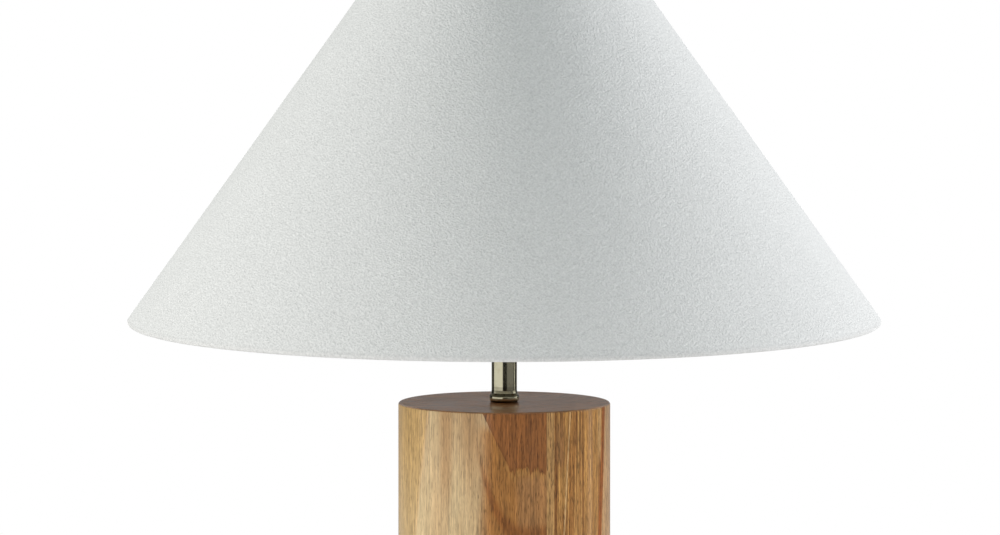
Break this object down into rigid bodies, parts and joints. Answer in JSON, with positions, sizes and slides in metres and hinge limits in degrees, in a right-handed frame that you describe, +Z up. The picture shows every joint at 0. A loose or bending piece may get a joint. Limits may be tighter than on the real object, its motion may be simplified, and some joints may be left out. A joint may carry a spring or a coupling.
{
  "type": "column table lamp",
  "caption": "Table lamp with a round lacquered wooden column, a brass neck and a wide cone fabric shade carried on a harp over a switched screw socket.",
  "frame": {"origin": "on the table under the middle of the felt pad", "axes": "+Z up the lamp's axis; -Y to the front, where the switch knob points; +Y to the back, where the cord comes in"},
  "size_m": [0.4064, 0.4064, 0.4978],
  "materials": {
    "felt": "dense wool felt",
    "wood": "glossy clear lacquer",
    "cast_iron": "as cast",
    "steel": "zinc plated",
    "black_plastic": "moulded nylon",
    "aged_brass": "antique, lacquered",
    "brass": "polished",
    "fibre_card": "vulcanised fibre",
    "phenolic": "moulded phenolic",
    "aluminium": "rolled thread",
    "solder": "dull solder",
    "frosted_glass": "inside frosted",
    "shade_cloth": "off-white crepe weave",
    "styrene": "satin sheet",
    "ring_wire": "white",
    "spider_brass": "plated wire"
  },
  "bodies": {
    "root": {"felt_pad": "felt", "wood_column": "wood", "base_weight": "cast_iron", "base_washer": "steel", "base_nut": "steel", "threaded_pipe": "steel", "cord_bushing": "black_plastic", "collar_bead": "aged_brass", "neck_tube": "aged_brass", "harp_saddle": "brass", "socket_cap": "brass", "socket_shell": "brass", "socket_insulator": "fibre_card", "socket_core": "phenolic", "terminal_screws": "brass", "screw_shell": "aluminium", "centre_contact": "brass"},
    "switch": {"switch_shaft": "brass", "switch_knob": "phenolic"},
    "bulb_contact": {"bulb_tip": "solder"},
    "bulb": {"bulb_base": "aluminium", "bulb_glass": "frosted_glass"},
    "harp": {"harp_loop": "brass", "harp_stud": "brass"},
    "sleeve_left": {"harp_sleeve_left": "brass"},
    "sleeve_right": {"harp_sleeve_right": "brass"},
    "swivel_washer": {"hub_washer": "brass"},
    "shade": {"shade_fabric": "shade_cloth", "shade_liner": "styrene", "bottom_ring": "ring_wire", "top_ring": "ring_wire", "spider_hub": "spider_brass", "spider_arms": "spider_brass"},
    "finial_nut": {"finial_base": "aged_brass"},
    "finial": {"finial_knob": "aged_brass"}
  },
  "joints": [
    {"name": "switch_turn", "type": "hinge", "parent": "root", "child": "switch", "pos_m": [0, -0.03, 0.2709], "axis": [0, -1, 0], "continuous": true},
    {"name": "bulb_rise", "type": "slide", "parent": "root", "child": "bulb_contact", "axis": [0, 0, 1], "range_m": [0, 0.0182]},
    {"name": "bulb_turn", "type": "hinge", "parent": "bulb_contact", "child": "bulb", "pos_m": [0, 0, 0.287], "axis": [0, 0, 1], "range_deg": [0, 1800]},
    {"name": "harp_lift", "type": "slide", "parent": "root", "child": "harp", "axis": [0, 0, 1], "range_m": [0, 0.02]},
    {"name": "sleeve_left_lift", "type": "slide", "parent": "harp", "child": "sleeve_left", "axis": [0, 0, 1], "range_m": [0, 0.013]},
    {"name": "sleeve_right_lift", "type": "slide", "parent": "harp", "child": "sleeve_right", "axis": [0, 0, 1], "range_m": [0, 0.013]},
    {"name": "shade_swivel", "type": "hinge", "parent": "harp", "child": "swivel_washer", "pos_m": [0, 0, 0.4608], "axis": [0, 0, 1], "continuous": true},
    {"name": "shade_lift", "type": "slide", "parent": "swivel_washer", "child": "shade", "axis": [0, 0, 1], "range_m": [0, 0.25]},
    {"name": "finial_rise", "type": "slide", "parent": "shade", "child": "finial_nut", "axis": [0, 0, 1], "range_m": [0, 0.0113]},
    {"name": "finial_turn", "type": "hinge", "parent": "finial_nut", "child": "finial", "pos_m": [0, 0, 0.467], "axis": [0, 0, 1], "range_deg": [0, 4325]}
  ],
  "couplings": [
    {"joint": "bulb_rise", "follows": "bulb_turn", "m_per_rad": 0.0005775},
    {"joint": "finial_turn", "follows": "finial_rise", "rad_per_m": 6679}
  ]
}
